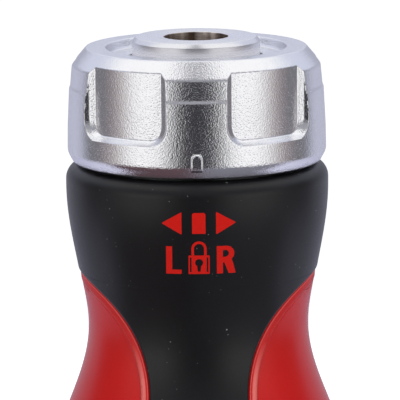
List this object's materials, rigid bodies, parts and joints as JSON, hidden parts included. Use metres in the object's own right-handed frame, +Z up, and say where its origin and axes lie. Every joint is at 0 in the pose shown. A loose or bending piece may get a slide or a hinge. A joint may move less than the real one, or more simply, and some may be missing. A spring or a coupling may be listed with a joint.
{
  "type": "ratcheting screwdriver",
  "caption": "Ratcheting screwdriver handle with a turning chrome selector ring over a hex drive socket, soft grip strips and red side panels.",
  "frame": {"origin": "centre of the end cap's flat foot, the lowest place of the standing tool", "axes": "+Z up the drive axis towards the hex socket, -Y towards the index mark and the printed front, +X to the right of that front"},
  "size_m": [0.0368, 0.0376, 0.115],
  "materials": {
    "red_plastic": "satin moulded red plastic",
    "soft_black": "matt black soft grip",
    "satin_chrome": "satin chrome plate with a fine grain",
    "machined_steel": "fine turned steel",
    "housing_steel": "machined steel",
    "dark_steel": "hardened dark steel",
    "pin_steel": "ground steel",
    "spring_steel": "drawn spring wire",
    "bronze": "sintered bronze",
    "magnet": "nickel plated magnet"
  },
  "bodies": {
    "handle": {"handle_core": "red_plastic", "soft_grip": "soft_black", "end_cap": "red_plastic", "ratchet_housing": "housing_steel", "pawl_cover": "housing_steel", "cover_screws": "dark_steel", "pawl_pin_left": "pin_steel", "pawl_pin_right": "pin_steel", "pawl_spring_left": "spring_steel", "pawl_spring_right": "spring_steel", "spindle_bush": "bronze", "thrust_washer": "pin_steel", "rear_washer": "pin_steel", "detent_spring": "spring_steel"},
    "spindle": {"drive_spindle": "machined_steel", "retaining_clip": "dark_steel", "bit_magnet": "magnet", "bit_retaining_ring": "spring_steel"},
    "selector": {"selector_ring": "satin_chrome"},
    "left_pawl": {"pawl_left": "dark_steel"},
    "right_pawl": {"pawl_right": "dark_steel"},
    "detent": {"detent_ball": "pin_steel"}
  },
  "joints": [
    {"name": "selector_turn", "type": "hinge", "parent": "handle", "child": "selector", "pos_m": [0, 0, 0.1], "axis": [0, 0, 1], "range_deg": [-12, 12]},
    {"name": "drive_spin", "type": "hinge", "parent": "handle", "child": "spindle", "pos_m": [0, 0, 0.1], "axis": [0, 0, 1], "continuous": true},
    {"name": "right_pawl_rock", "type": "hinge", "parent": "handle", "child": "right_pawl", "pos_m": [0.0082, 0.0065, 0.1055], "axis": [0, 0, 1], "range_deg": [-3.6, 3.6], "deforming": ["pawl_spring_right"]},
    {"name": "left_pawl_rock", "type": "hinge", "parent": "handle", "child": "left_pawl", "pos_m": [-0.0082, 0.0065, 0.1055], "axis": [0, 0, 1], "range_deg": [-3.6, 3.6], "deforming": ["pawl_spring_left"]},
    {"name": "detent_press", "type": "slide", "parent": "handle", "child": "detent", "axis": [0, -1, 0], "range_m": [0, 0.0005], "stiffness_N_per_m": 500, "springref_m": -0.001, "deforming": ["detent_spring"]}
  ],
  "couplings": [
    {"joint": "right_pawl_rock", "follows": "selector_turn", "ratio": -0.3},
    {"joint": "left_pawl_rock", "follows": "selector_turn", "ratio": -0.3}
  ]
}
